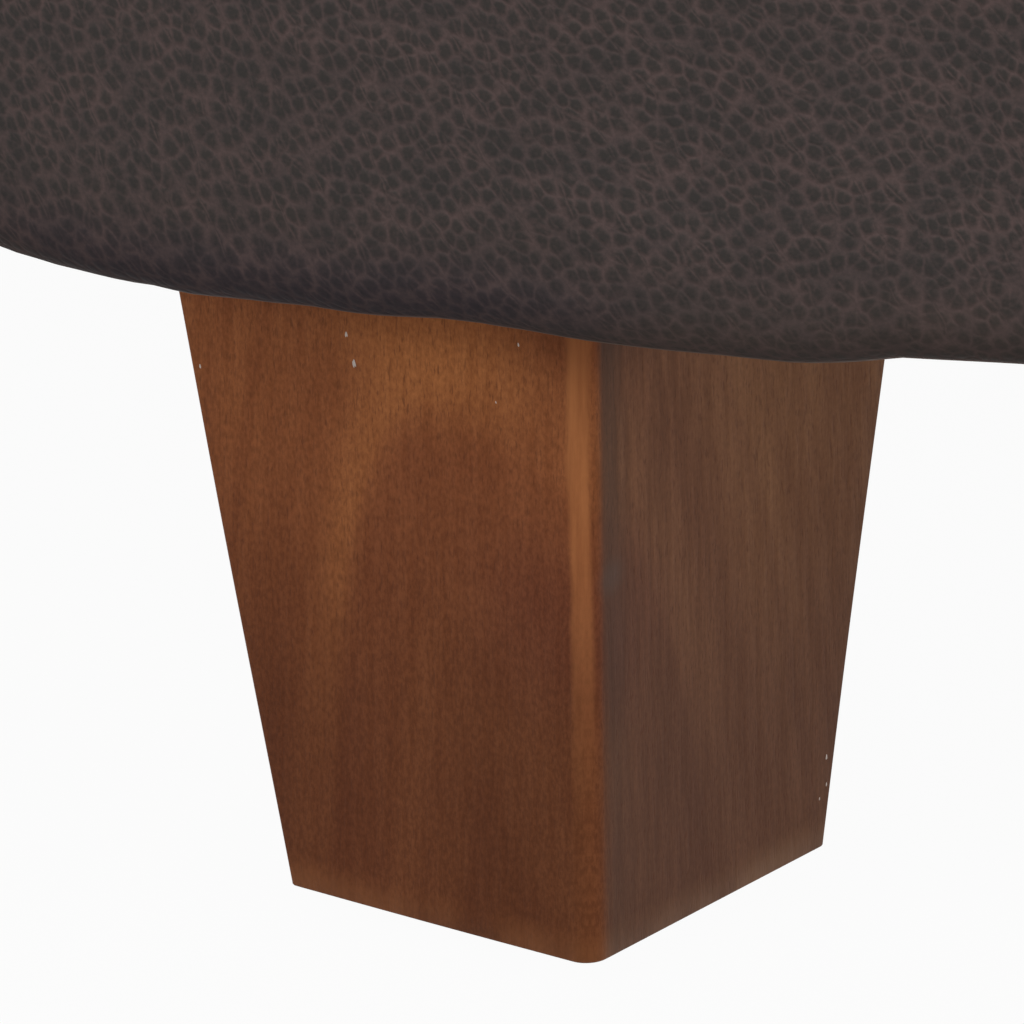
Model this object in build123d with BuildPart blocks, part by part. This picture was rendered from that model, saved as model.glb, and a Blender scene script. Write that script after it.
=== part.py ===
from build123d import *
from math import acos, asin, atan2, cos, radians, sin, sqrt
import os

# Round upholstered ottoman coffee table on four tapered wooden legs.
# Millimetres, +Z up. The origin is on the floor under the middle of the drum.

# Overall
OVERALL_DIAMETER = 750.0
OVERALL_HEIGHT = 450.0
LEG_COUNT = 4
FIRST_LEG_ANGLE = 45.0

# Legs: square, tapered, each screwed up tight and so turned a little from the radius
LEG_HEIGHT = 121.0
LEG_TOP_WIDTH = 80.0
LEG_FOOT_WIDTH = 55.5
LEG_INSET = 80.0
LEG_TURN = -11.0
LEG_OUTER_EDGE_RADIUS = 3.3
LEG_ARRIS_RADIUS = 1.0

# Glides nailed under the legs
GLIDE_HEIGHT = 4.0
GLIDE_RADIUS = 12.0
GLIDE_EDGE = 1.2
NAIL_RADIUS = 1.3
NAIL_HEAD_RADIUS = 3.5
NAIL_HEAD_THICKNESS = 1.2
NAIL_HEAD_RECESS = 1.0
NAIL_LENGTH = 20.0

# Hanger bolts and the tee nuts that they screw into
BOLT_RADIUS = 4.0
BOLT_DEPTH_IN_LEG = 42.0
BOLT_STAND_OUT = 3.0
BOLT_HOLE_RADIUS = 4.8
TEE_NUT_BARREL_RADIUS = 5.6
TEE_NUT_BARREL_LENGTH = 12.0
TEE_NUT_FLANGE_RADIUS = 11.5
TEE_NUT_FLANGE_THICKNESS = 1.5
PRONG_COUNT = 4
PRONG_RADIUS = 8.5
PRONG_WIDTH = 3.0
PRONG_THICKNESS = 1.2
PRONG_LENGTH = 6.0

# Plywood frame
BASE_PANEL_THICKNESS = 15.0
DECK_PANEL_THICKNESS = 12.0
LEG_BLOCK_WIDTH = 90.0
LEG_BLOCK_THICKNESS = 25.0
RIB_THICKNESS = 15.0
RIB_SETBACK = 2.0
POST_COUNT = 8
POST_WIDTH = 40.0
POST_DEPTH = 25.0
POST_SETBACK = 2.0
SIDE_BOARD_THICKNESS = 4.0

# Wood screws that hold both panels to the posts
SCREW_RADIUS = 2.1
SCREW_HEAD_RADIUS = 4.2
SCREW_HEAD_THICKNESS = 2.4
SCREW_LENGTH = 42.0

# Fasteners and their holes are drawn eight-sided, which keeps the many copies light
FASTENER_SIDES = 8

# Straight steps that stand for the curves of the soft outline
HEM_STEPS = 2
NOSE_STEPS = 2
DRAW_STEPS = 2
TOP_EDGE_STEPS = 2
WELT_SIDES = 8

# Padding
SIDE_FOAM_THICKNESS = 15.0
TOP_FOAM_THICKNESS = 50.0
FIBRE_THICKNESS = 8.0

# Leather cover, piping and dust cover
LEATHER_THICKNESS = 1.2
DRAWN_IN_FROM = 330.0
HEM_DROP = 8.8
HEM_FLANGE_WIDTH = 33.0
HEM_PULL = 3.0
TOP_CROWN = 13.0
TOP_FLAT_RADIUS = 220.0
TOP_EDGE_RADIUS = 20.0
TOP_EDGE_DROP = 10.0
WELT_DIAMETER = 7.0
WELT_TAPE_THICKNESS = 1.0
SEAM_ALLOWANCE = 9.0
DUST_COVER_THICKNESS = 0.8
DUST_COVER_SETBACK = 6.0

# Clearances
SOFT_CLEARANCE = 0.3
FIT_CLEARANCE = 0.1
LAP_CLEARANCE = 0.2

# Levels, from the floor up
leg_foot = GLIDE_HEIGHT
leg_top = leg_foot + LEG_HEIGHT
flange_bottom = leg_top + DUST_COVER_THICKNESS
base_bottom = flange_bottom + LEATHER_THICKNESS
base_top = base_bottom + BASE_PANEL_THICKNESS
block_top = base_top + LEG_BLOCK_THICKNESS
cover_gap = LEATHER_THICKNESS + SOFT_CLEARANCE
foam_crown_top = OVERALL_HEIGHT - cover_gap - FIBRE_THICKNESS - SOFT_CLEARANCE
deck_top = foam_crown_top - TOP_FOAM_THICKNESS
deck_bottom = deck_top - DECK_PANEL_THICKNESS
frame_height = deck_bottom - base_top

# Radii, from the face of the leather inwards
side_radius = OVERALL_DIAMETER / 2
hem_roll_radius = SIDE_FOAM_THICKNESS / 2 + cover_gap
hem_roll_centre = side_radius - hem_roll_radius
foam_inner_radius = hem_roll_centre - SIDE_FOAM_THICKNESS / 2
board_outer_radius = foam_inner_radius - SOFT_CLEARANCE
board_inner_radius = board_outer_radius - SIDE_BOARD_THICKNESS
panel_radius = board_inner_radius - SOFT_CLEARANCE
leg_radius = side_radius - LEG_INSET
hem_roll_height = flange_bottom - HEM_DROP + hem_roll_radius
hem_roll = (hem_roll_centre, hem_roll_height)

# The piping seam stands where the dome meets the side
welt_radius = WELT_DIAMETER / 2
welt_centre = side_radius - welt_radius
seam_radius = welt_centre - welt_radius
allowance_radius = seam_radius - SEAM_ALLOWANCE
dome_radius = (seam_radius ** 2 + TOP_CROWN ** 2) / (2 * TOP_CROWN)
dome_centre = OVERALL_HEIGHT - dome_radius
seam_height = OVERALL_HEIGHT - TOP_CROWN - TOP_EDGE_DROP
tape_half = WELT_TAPE_THICKNESS / 2
side_top = seam_height - tape_half
dome_foot = seam_height + tape_half

# Above the upright part of the side an arc draws it in to the seam
draw_rise = side_top - DRAWN_IN_FROM
draw_depth = side_radius - seam_radius
draw_radius = (draw_rise ** 2 + draw_depth ** 2) / (2 * draw_depth)

leg_angles = [FIRST_LEG_ANGLE + 360 * k / LEG_COUNT for k in range(LEG_COUNT)]
leg_names = ["rear_right", "rear_left", "front_left", "front_right"]
post_angles = [(k + 1 / 2) * 360 / POST_COUNT for k in range(POST_COUNT)]
leg_side = [
    (-LEG_FOOT_WIDTH / 2, 0),
    (LEG_FOOT_WIDTH / 2, 0),
    (LEG_TOP_WIDTH / 2, LEG_HEIGHT),
    (-LEG_TOP_WIDTH / 2, LEG_HEIGHT),
]
post_radius = panel_radius - POST_SETBACK - POST_DEPTH / 2
rib_reach = panel_radius - RIB_SETBACK
nail_depth_in_leg = NAIL_LENGTH - (GLIDE_HEIGHT - NAIL_HEAD_RECESS)
nail_recess_depth = NAIL_HEAD_RECESS + NAIL_HEAD_THICKNESS
bolt_top = block_top + TEE_NUT_FLANGE_THICKNESS + BOLT_STAND_OUT
side_foam_top = side_top - cover_gap
fibre_foot = dome_foot + cover_gap
fibre_depth = cover_gap + FIBRE_THICKNESS
foam_depth = fibre_depth + SOFT_CLEARANCE

os.makedirs("parts", exist_ok=True)


def keep(builder, name):
    """Label a finished piece and write it under its name."""
    builder.part.label = name
    export_step(builder.part, f"parts/{name}.step")


def placed(radius, angle, height, turn, up):
    """A level plane at a place on the drum, its x axis turned by an angle from the radius."""
    facing = radians(angle + turn)
    place = (radius * cos(radians(angle)), radius * sin(radians(angle)), height)
    return Plane(origin=place, x_dir=(cos(facing), sin(facing), 0), z_dir=(0, 0, up))


def upright(radius, angle, height, turn=0):
    """A plane that faces up, for what stands on it or is driven in from above."""
    return placed(radius, angle, height, turn, 1)


def hanging(radius, angle, height, turn=0):
    """A plane that faces down, for what is driven in from below."""
    return placed(radius, angle, height, turn, -1)


def span_of(start, end):
    """Distance between two points of an outline."""
    return sqrt((end[0] - start[0]) ** 2 + (end[1] - start[1]) ** 2)


def along(start, towards, distance):
    """The point at a distance from start on the line towards another point."""
    share = distance / span_of(start, towards)
    return start[0] + (towards[0] - start[0]) * share, start[1] + (towards[1] - start[1]) * share


def aside(start, end, reach, rise):
    """A point a reach along the way from start to end, and a rise to the left of it."""
    span = span_of(start, end)
    dx, dz = (end[0] - start[0]) / span, (end[1] - start[1]) / span
    return start[0] + dx * reach - dz * rise, start[1] + dz * reach + dx * rise


def arc_points(start, end, radius, steps):
    """Points at equal steps on an arc that bulges to the right of the way from start to end."""
    half = span_of(start, end) / 2
    centre = aside(start, end, half, sqrt(radius ** 2 - half ** 2))
    first = atan2(start[1] - centre[1], start[0] - centre[0])
    sweep = 2 * asin(half / radius)
    turns = [first + sweep * k / steps for k in range(1, steps)]
    middle = [(centre[0] + radius * cos(t), centre[1] + radius * sin(t)) for t in turns]
    return [start, *middle, end]


def circles_meet(first, first_radius, second, second_radius):
    """The inner of the two points where two circles of an outline cross."""
    span = span_of(first, second)
    reach = (first_radius ** 2 - second_radius ** 2 + span ** 2) / (2 * span)
    return aside(first, second, reach, -sqrt(first_radius ** 2 - reach ** 2))


def tangent_from(outside, centre, radius):
    """Where a line from an outside point touches the under side of a circle."""
    swing = atan2(outside[1] - centre[1], outside[0] - centre[0])
    swing += acos(radius / span_of(outside, centre))
    return centre[0] + radius * cos(swing), centre[1] + radius * sin(swing)


def dome_height(radius, depth):
    """Height of the crowned top at a radius, at a depth under the leather's face."""
    return dome_centre + sqrt((dome_radius - depth) ** 2 - radius ** 2)


def side_points(depth, top):
    """Side of the drum from under the hem roll up to a height, at a depth under its face."""
    under_roll = (hem_roll_centre, hem_roll_height - hem_roll_radius + depth)
    side_foot = (side_radius - depth, hem_roll_height)
    bend = (side_radius - depth, DRAWN_IN_FROM)
    reach = draw_radius - depth
    drawn_in = draw_radius - sqrt(reach ** 2 - (top - DRAWN_IN_FROM) ** 2)
    return [
        *arc_points(under_roll, side_foot, hem_roll_radius - depth, HEM_STEPS),
        *arc_points(bend, (side_radius - drawn_in, top), reach, DRAW_STEPS),
    ]


def top_points(depth):
    """The level middle of the top, from its rim to the axis, at a depth under its face."""
    return [(TOP_FLAT_RADIUS, OVERALL_HEIGHT - depth), (0, OVERALL_HEIGHT - depth)]


def crown_points(depth, foot):
    """Top of the drum from a foot height on its rounded edge to the axis, at a depth."""
    reach = TOP_EDGE_RADIUS - depth
    rise = foot - top_edge_centre[1]
    start = (top_edge_centre[0] + sqrt(reach ** 2 - rise ** 2), foot)
    leaves_edge = along(dome_middle, top_edge_centre, dome_radius - depth)
    return [*arc_points(start, leaves_edge, reach, TOP_EDGE_STEPS), *top_points(depth)]


def padding_crown(depth):
    """The crown that the foam slab and the fibre share, from the slab's edge to the axis."""
    return [(board_outer_radius, dome_height(board_outer_radius, depth)), *top_points(depth)]


def band_points(depth):
    """The leather band from its edge under the base to its edge in the seam, at a depth."""
    leaves_panel = (board_outer_radius - HEM_PULL, flange_bottom + depth)
    reach = hem_roll_radius - depth
    meets_roll = tangent_from(leaves_panel, hem_roll, reach)
    side = side_points(depth, side_top - depth)
    return [
        (panel_radius - HEM_FLANGE_WIDTH, flange_bottom + depth),
        leaves_panel,
        *arc_points(meets_roll, side[0], reach, NOSE_STEPS),
        *side[1:],
        (allowance_radius, side_top - depth),
    ]


def top_cover_points(depth):
    """The leather top panel from its edge in the seam to the axis, at a depth."""
    foot = dome_foot + depth
    return [(allowance_radius, foot), *crown_points(depth, foot)]


def make_ring(name, outline):
    """A soft layer turned about the axis from its closed outline."""
    with BuildPart() as ring:
        with BuildSketch(Plane.XZ):
            with BuildLine():
                Polyline(*outline, close=True)
            make_face()
        revolve(axis=Axis.Z)
    keep(ring, name)


def make_leg(name, angle):
    """A solid block sawn to a taper. Its outward edge is well rounded and the others eased."""
    foot = upright(leg_radius, angle, leg_foot, LEG_TURN)
    side_view = Plane(foot.origin, x_dir=foot.x_dir, z_dir=-foot.y_dir)
    front_view = Plane(foot.origin, x_dir=foot.y_dir, z_dir=foot.x_dir)
    outward = Axis(foot.origin, foot.x_dir + foot.y_dir)
    with BuildPart() as leg:
        with BuildSketch(side_view):
            Polygon(*leg_side, align=None)
        extrude(amount=LEG_TOP_WIDTH, both=True)
        with BuildSketch(front_view):
            Polygon(*leg_side, align=None)
        extrude(amount=LEG_TOP_WIDTH, both=True, mode=Mode.INTERSECT)
        corners = leg.edges().filter_by(Plane.XY, reverse=True).sort_by(outward)
        fillet(corners[-1], LEG_OUTER_EDGE_RADIUS)
        corners = leg.edges().filter_by(Plane.XY, reverse=True).sort_by(outward)
        fillet(corners[:3], LEG_ARRIS_RADIUS)
        with BuildSketch(upright(leg_radius, angle, leg_top)):
            RegularPolygon(BOLT_RADIUS + FIT_CLEARANCE, FASTENER_SIDES)
        extrude(amount=-BOLT_DEPTH_IN_LEG, mode=Mode.SUBTRACT)
        with BuildSketch(hanging(leg_radius, angle, leg_foot)):
            RegularPolygon(NAIL_RADIUS + FIT_CLEARANCE, FASTENER_SIDES)
        extrude(amount=-nail_depth_in_leg, mode=Mode.SUBTRACT)
    keep(leg, f"leg_{name}")


def make_leg_block(name, angle):
    """A pine block glued to the base panel, which takes the pull of the leg bolt."""
    with BuildPart() as block:
        with BuildSketch(upright(leg_radius, angle, base_top)):
            Rectangle(LEG_BLOCK_WIDTH, LEG_BLOCK_WIDTH)
            RegularPolygon(BOLT_HOLE_RADIUS, FASTENER_SIDES, mode=Mode.SUBTRACT)
        extrude(amount=LEG_BLOCK_THICKNESS)
        with BuildSketch(upright(leg_radius, angle, block_top)):
            RegularPolygon(TEE_NUT_BARREL_RADIUS + FIT_CLEARANCE, FASTENER_SIDES)
        extrude(amount=-TEE_NUT_BARREL_LENGTH, mode=Mode.SUBTRACT)
        with BuildSketch(upright(leg_radius, angle, block_top)):
            with PolarLocations(PRONG_RADIUS, PRONG_COUNT):
                Rectangle(PRONG_THICKNESS + 2 * FIT_CLEARANCE, PRONG_WIDTH + 2 * FIT_CLEARANCE)
        extrude(amount=-PRONG_LENGTH, mode=Mode.SUBTRACT)
    keep(block, f"leg_block_{name}")


def make_post(number, angle):
    """An upright of the frame, with pilot holes for the screws at both ends."""
    with BuildPart() as post:
        with BuildSketch(upright(post_radius, angle, base_top)):
            Rectangle(POST_DEPTH, POST_WIDTH)
        extrude(amount=frame_height)
        with BuildSketch(upright(post_radius, angle, deck_bottom)):
            RegularPolygon(SCREW_RADIUS + FIT_CLEARANCE, FASTENER_SIDES)
        extrude(amount=DECK_PANEL_THICKNESS - SCREW_LENGTH, mode=Mode.SUBTRACT)
        with BuildSketch(hanging(post_radius, angle, base_top)):
            RegularPolygon(SCREW_RADIUS + FIT_CLEARANCE, FASTENER_SIDES)
        extrude(amount=BASE_PANEL_THICKNESS - SCREW_LENGTH, mode=Mode.SUBTRACT)
    keep(post, f"post_{number}")


def make_rib(name, turn, slot_level):
    """A plywood rib across the drum, halved into the other where they cross."""
    slot_width = RIB_THICKNESS + 2 * LAP_CLEARANCE
    with BuildPart() as rib:
        with BuildSketch(upright(0, 0, base_top, turn)):
            Rectangle(2 * rib_reach, RIB_THICKNESS)
        extrude(amount=frame_height)
        with BuildSketch(upright(0, 0, slot_level, turn)):
            Rectangle(slot_width, slot_width)
        extrude(amount=frame_height / 2, mode=Mode.SUBTRACT)
    keep(rib, name)


def make_screws(name, planes):
    """Flat-headed wood screws, let in flush, each with its head on one of the planes."""
    with BuildPart() as screws:
        with BuildSketch(*planes):
            RegularPolygon(SCREW_HEAD_RADIUS, FASTENER_SIDES)
        extrude(amount=-SCREW_HEAD_THICKNESS)
        with BuildSketch(*planes):
            RegularPolygon(SCREW_RADIUS, FASTENER_SIDES)
        extrude(amount=-SCREW_LENGTH)
    keep(screws, name)


def make_panel(name, bottom, thickness, screw_planes, bolt_hole_angles):
    """A round plywood panel with flush screw holes, and bolt holes where the legs go."""
    with BuildPart() as panel:
        with BuildSketch(Plane.XY.offset(bottom)):
            Circle(panel_radius)
        extrude(amount=thickness)
        with BuildSketch(*screw_planes):
            RegularPolygon(SCREW_HEAD_RADIUS + FIT_CLEARANCE, FASTENER_SIDES)
        extrude(amount=-SCREW_HEAD_THICKNESS, mode=Mode.SUBTRACT)
        with BuildSketch(*screw_planes):
            RegularPolygon(SCREW_RADIUS + FIT_CLEARANCE, FASTENER_SIDES)
        extrude(amount=-thickness, mode=Mode.SUBTRACT)
        if bolt_hole_angles:
            with BuildSketch(*[upright(leg_radius, a, bottom) for a in bolt_hole_angles]):
                RegularPolygon(BOLT_HOLE_RADIUS, FASTENER_SIDES)
            extrude(amount=thickness, mode=Mode.SUBTRACT)
    keep(panel, name)


# The rounded top edge touches the dome from inside and starts at the seam
dome_middle = (0, dome_centre)
top_edge_start = (seam_radius, dome_foot)
top_edge_reach = dome_radius - TOP_EDGE_RADIUS
top_edge_centre = circles_meet(top_edge_start, TOP_EDGE_RADIUS, dome_middle, top_edge_reach)

for leg_name, leg_angle in zip(leg_names, leg_angles):
    make_leg(leg_name, leg_angle)
    make_leg_block(leg_name, leg_angle)

# Round glides under the legs, each with a recess that hides the head of its nail
glide_feet = [hanging(leg_radius, a, 0) for a in leg_angles]
with BuildPart() as glides:
    with BuildSketch(*glide_feet):
        Circle(GLIDE_RADIUS)
    extrude(amount=-GLIDE_HEIGHT)
    chamfer(glides.edges().group_by(Axis.Z)[0], GLIDE_EDGE)
    with BuildSketch(*glide_feet):
        RegularPolygon(NAIL_HEAD_RADIUS + FIT_CLEARANCE, FASTENER_SIDES)
    extrude(amount=-nail_recess_depth, mode=Mode.SUBTRACT)
    with BuildSketch(*glide_feet):
        RegularPolygon(NAIL_RADIUS + FIT_CLEARANCE, FASTENER_SIDES)
    extrude(amount=-GLIDE_HEIGHT, mode=Mode.SUBTRACT)
keep(glides, "glides")

# The nails, driven up through the glides into the legs
nail_heads = [hanging(leg_radius, a, NAIL_HEAD_RECESS) for a in leg_angles]
with BuildPart() as glide_nails:
    with BuildSketch(*nail_heads):
        RegularPolygon(NAIL_HEAD_RADIUS, FASTENER_SIDES)
    extrude(amount=-NAIL_HEAD_THICKNESS)
    with BuildSketch(*nail_heads):
        RegularPolygon(NAIL_RADIUS, FASTENER_SIDES)
    extrude(amount=-NAIL_LENGTH)
keep(glide_nails, "glide_nails")

# Hanger bolts, half in the leg and half through the base panel and its block
with BuildPart() as hanger_bolts:
    with BuildSketch(*[upright(leg_radius, a, bolt_top) for a in leg_angles]):
        RegularPolygon(BOLT_RADIUS, FASTENER_SIDES)
    extrude(amount=leg_top - BOLT_DEPTH_IN_LEG - bolt_top)
keep(hanger_bolts, "hanger_bolts")

# Tee nuts, pronged flange on the block and threaded barrel let into it
nut_seats = [upright(leg_radius, a, block_top) for a in leg_angles]
with BuildPart() as tee_nuts:
    with BuildSketch(*nut_seats):
        RegularPolygon(TEE_NUT_FLANGE_RADIUS, FASTENER_SIDES)
        RegularPolygon(BOLT_RADIUS + FIT_CLEARANCE, FASTENER_SIDES, mode=Mode.SUBTRACT)
    extrude(amount=TEE_NUT_FLANGE_THICKNESS)
    with BuildSketch(*nut_seats):
        RegularPolygon(TEE_NUT_BARREL_RADIUS, FASTENER_SIDES)
        RegularPolygon(BOLT_RADIUS + FIT_CLEARANCE, FASTENER_SIDES, mode=Mode.SUBTRACT)
    extrude(amount=-TEE_NUT_BARREL_LENGTH)
    with BuildSketch(*nut_seats):
        with PolarLocations(PRONG_RADIUS, PRONG_COUNT):
            Rectangle(PRONG_THICKNESS, PRONG_WIDTH)
    extrude(amount=-PRONG_LENGTH)
keep(tee_nuts, "tee_nuts")

# Frame: base and deck held apart by posts and by two ribs halved across each other
deck_screw_planes = [upright(post_radius, a, deck_top) for a in post_angles]
base_screw_planes = [hanging(post_radius, a, base_bottom) for a in post_angles]
make_panel("base_panel", base_bottom, BASE_PANEL_THICKNESS, base_screw_planes, leg_angles)
make_panel("deck_panel", deck_bottom, DECK_PANEL_THICKNESS, deck_screw_planes, [])
make_screws("deck_screws", deck_screw_planes)
make_screws("base_screws", base_screw_planes)
make_rib("cross_rib_lower", 0, base_top + frame_height / 2)
make_rib("cross_rib_upper", 90, base_top)
for number, post_angle in enumerate(post_angles):
    make_post(number + 1, post_angle)

# Thin board bent round both panels and stapled to their edges
with BuildPart() as side_board:
    with BuildSketch(Plane.XY.offset(base_bottom)):
        Circle(board_outer_radius)
        Circle(board_inner_radius, mode=Mode.SUBTRACT)
    extrude(amount=deck_top - base_bottom)
keep(side_board, "side_board")

# Foam wrapped round the board, with a round nose that hangs below it and fills the hem
nose_start = (foam_inner_radius, hem_roll_height)
nose_bottom = (hem_roll_centre, hem_roll_height - SIDE_FOAM_THICKNESS / 2)
nose = arc_points(nose_start, nose_bottom, SIDE_FOAM_THICKNESS / 2, NOSE_STEPS)
foam_side = side_points(cover_gap, side_foam_top)
make_ring("side_foam", [*nose, *foam_side[1:], (foam_inner_radius, side_foam_top)])

# Round foam slab on the deck, cut to a crown
foam_crown = padding_crown(foam_depth)
make_ring("top_foam", [(0, deck_top), (board_outer_radius, deck_top), *foam_crown])

# Polyester fibre that softens the slab and plumps out the edge above the piping
fibre_face = crown_points(cover_gap, fibre_foot)
fibre_back = [*reversed(padding_crown(fibre_depth)), (board_outer_radius, fibre_foot)]
make_ring("fibre_wrap", fibre_face + fibre_back)

# Leather band: pulled under the base, round the soft hem, up the side and in at the seam
make_ring("cover_side", [*band_points(0), *reversed(band_points(LEATHER_THICKNESS))])

# Leather top panel, crowned, with its edge turned in at the piping seam
make_ring("cover_top", [*top_cover_points(0), *reversed(top_cover_points(LEATHER_THICKNESS))])

# Piping: a leather-covered cord whose tape is sewn between the top panel and the band
with BuildPart() as welt:
    with BuildSketch(Plane.XZ):
        with Locations((welt_centre, seam_height)):
            RegularPolygon(welt_radius, WELT_SIDES)
        with Locations(((allowance_radius + welt_centre) / 2, seam_height)):
            Rectangle(welt_centre - allowance_radius, WELT_TAPE_THICKNESS)
    revolve(axis=Axis.Z)
keep(welt, "welt")

# Dust cover stretched under the base, over the edge of the leather
with BuildPart() as dust_cover:
    with BuildSketch(Plane.XY.offset(leg_top)):
        Circle(panel_radius - DUST_COVER_SETBACK)
    extrude(amount=DUST_COVER_THICKNESS)
    with BuildSketch(*[upright(leg_radius, a, leg_top) for a in leg_angles]):
        RegularPolygon(BOLT_HOLE_RADIUS, FASTENER_SIDES)
    extrude(amount=DUST_COVER_THICKNESS, mode=Mode.SUBTRACT)
keep(dust_cover, "dust_cover")
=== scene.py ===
import bmesh
import bpy
from math import cos, pi, radians, sin, sqrt
import numpy as np
from mathutils import Matrix, Vector


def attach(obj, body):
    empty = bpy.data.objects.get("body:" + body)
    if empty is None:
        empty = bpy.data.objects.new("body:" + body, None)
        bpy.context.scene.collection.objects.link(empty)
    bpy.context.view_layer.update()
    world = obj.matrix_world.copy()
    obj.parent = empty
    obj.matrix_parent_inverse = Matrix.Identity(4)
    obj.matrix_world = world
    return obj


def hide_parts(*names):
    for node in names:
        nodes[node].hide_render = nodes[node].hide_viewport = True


# A round padded ottoman coffee table, dressed around its frame. Metres, +Z up, the floor at zero.
# The view is a close-up of the front left leg and of the soft hem above it, from a little above.

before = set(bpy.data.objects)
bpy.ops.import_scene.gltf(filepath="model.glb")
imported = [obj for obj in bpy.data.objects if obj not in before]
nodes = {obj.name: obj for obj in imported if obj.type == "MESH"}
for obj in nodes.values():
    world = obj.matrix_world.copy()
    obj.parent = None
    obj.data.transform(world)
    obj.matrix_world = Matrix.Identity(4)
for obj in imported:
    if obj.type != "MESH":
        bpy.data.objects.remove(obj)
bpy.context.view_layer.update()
scene = bpy.context.scene

# The view: a long lens far off, so the leg's edges run nearly parallel, turned a little off level.
# Round it stands a white studio with three softboxes.
WHITE = (1, 1, 1)

camera_data = bpy.data.cameras.new("view_camera")
camera_data.sensor_width = 36
camera_data.lens = 683.6
camera_data.clip_end = 30
camera = bpy.data.objects.new("view_camera", camera_data)
camera.matrix_world = Matrix((
    (0.95067, 0.13898, -0.27732, -0.99177),
    (-0.30877, 0.3382, -0.88898, -2.7022),
    (-0.02976, 0.93076, 0.36443, 1.08224),
    (0, 0, 0, 1),
))
scene.collection.objects.link(camera)
scene.camera = camera
scene.view_settings.view_transform = "Standard"


def feed(socket, value):
    """Links an input to another node's socket, or sets it to a plain value or a colour."""
    if isinstance(value, bpy.types.NodeSocket):
        socket.id_data.links.new(value, socket)
    else:
        socket.default_value = (*value, 1) if socket.type == "RGBA" else value


def node(tree, kind, links=(), **settings):
    """A shader node with its settings made and its inputs fed."""
    made = tree.nodes.new("ShaderNode" + kind)
    for key, value in settings.items():
        setattr(made, key, value)
    for key, value in dict(links).items():
        feed(made.inputs[key], value)
    return made


def tree_of(*values):
    """The node tree of the first socket among some values."""
    return next(value for value in values if isinstance(value, bpy.types.NodeSocket)).id_data


def maths(how, *values):
    """One Math node on sockets or plain numbers."""
    return node(tree_of(*values), "Math", dict(enumerate(values)), operation=how).outputs[0]


def sees_white(tree):
    """Which rays see the white background: the lens's own, and those that metal turns towards it."""
    path = node(tree, "LightPath").outputs
    either = maths("MAXIMUM", path["Is Camera Ray"], path["Is Glossy Ray"])
    return maths("MAXIMUM", either, path["Is Transmission Ray"])


# Floor of a white studio. The lens sees it white, with a trace of the shadow left in it,
# and sees through it from below.
floor_mesh = bpy.data.meshes.new("studio_floor")
floor_mesh.from_pydata([(-9, -9, 0), (9, -9, 0), (9, 9, 0), (-9, 9, 0)], [], [(0, 1, 2, 3)])
floor = bpy.data.objects.new("studio_floor", floor_mesh)
scene.collection.objects.link(floor)

studio_white = bpy.data.materials.new("studio_white")
studio_white.use_nodes = True
tree = studio_white.node_tree
tree.nodes.clear()
glow_share = maths("MULTIPLY", sees_white(tree), 0.96)
matt = node(tree, "BsdfDiffuse", {"Color": (0.42, 0.41, 0.4)})
lit = node(tree, "MixShader", {"Fac": glow_share, 1: matt.outputs[0], 2: node(tree, "Emission").outputs[0]})
from_below = node(tree, "NewGeometry").outputs["Backfacing"]
clear = node(tree, "BsdfTransparent")
one_way = node(tree, "MixShader", {"Fac": from_below, 1: lit.outputs[0], 2: clear.outputs[0]})
node(tree, "OutputMaterial", {"Surface": one_way.outputs[0]})
floor_mesh.materials.append(studio_white)

world = bpy.data.worlds.new("studio_world")
world.use_nodes = True
scene.world = world
tree = world.node_tree
tree.nodes.clear()
soft = node(tree, "Background", {"Color": WHITE, "Strength": 0.55})
white = node(tree, "Background", {"Color": WHITE})
sky = node(tree, "MixShader", {"Fac": sees_white(tree), 1: soft.outputs[0], 2: white.outputs[0]})
node(tree, "OutputWorld", {"Surface": sky.outputs[0]})


def softbox(name, place, aim, width, power):
    """A square studio lamp that faces a point."""
    lamp_data = bpy.data.lights.new(name, "AREA")
    lamp_data.size = width
    lamp_data.energy = power
    lamp = bpy.data.objects.new(name, lamp_data)
    lamp.location = place
    lamp.rotation_euler = (Vector(aim) - Vector(place)).to_track_quat("-Z", "Y").to_euler()
    scene.collection.objects.link(lamp)


softbox("key_lamp", (-2.6, -1.4, 1.9), (-0.2, -0.2, 0.2), 1.6, 38)
softbox("top_lamp", (0.4, -0.8, 3.2), (0, 0, 0.3), 2.4, 24)
softbox("fill_lamp", (1.6, -2.6, 0.9), (-0.2, -0.2, 0.1), 1.8, 35)


# The leather band: faux leather sewn to a ring, pulled down over the foam, rolled under the base and
# stapled there. Embossed with a pebble grain: dark rounded cells in a web of lighter, redder creases.
HEM_CENTRE = 0.366
HEM_LEVEL = 0.126
HEM_ROLL = 0.009
DRUM = 0.375
BOW_LEVEL = 0.33  # where the band begins to draw in
BOW_RADIUS = 0.66866
SEAM_LEVEL = 0.427
SEAM_HALF = 0.0005  # half the gap in which the piping's tape lies
SEAM_EDGE, SEAM_BEND = 0.359, 0.364
LEATHER = 0.0012
JOIN_ANGLES = (radians(90), radians(308))
JOIN_REACH = 0.033
AROUND = 720  # columns of a round skin
FULL_TURN = 2 * pi


def waves(angle, seed, periods, strength):
    """A soft unevenness round the drum, the same on every run."""
    dice = np.random.default_rng(seed)
    total = np.zeros_like(angle)
    for count in periods:
        total += dice.uniform(0.5, 1) * np.sin(count * angle + dice.uniform(0, 6.283))
    return strength * total / sqrt(len(periods))


def columns(count, joins=()):
    """Angles round the drum, closer together beside each join."""
    angles = list(np.arange(count) * FULL_TURN / count)
    for join in joins:
        angles = [a for a in angles if abs(a - join) > JOIN_REACH + 0.001]
        angles += list(join + np.linspace(-JOIN_REACH, JOIN_REACH, 67))
    return np.array(sorted(angles))


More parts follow.
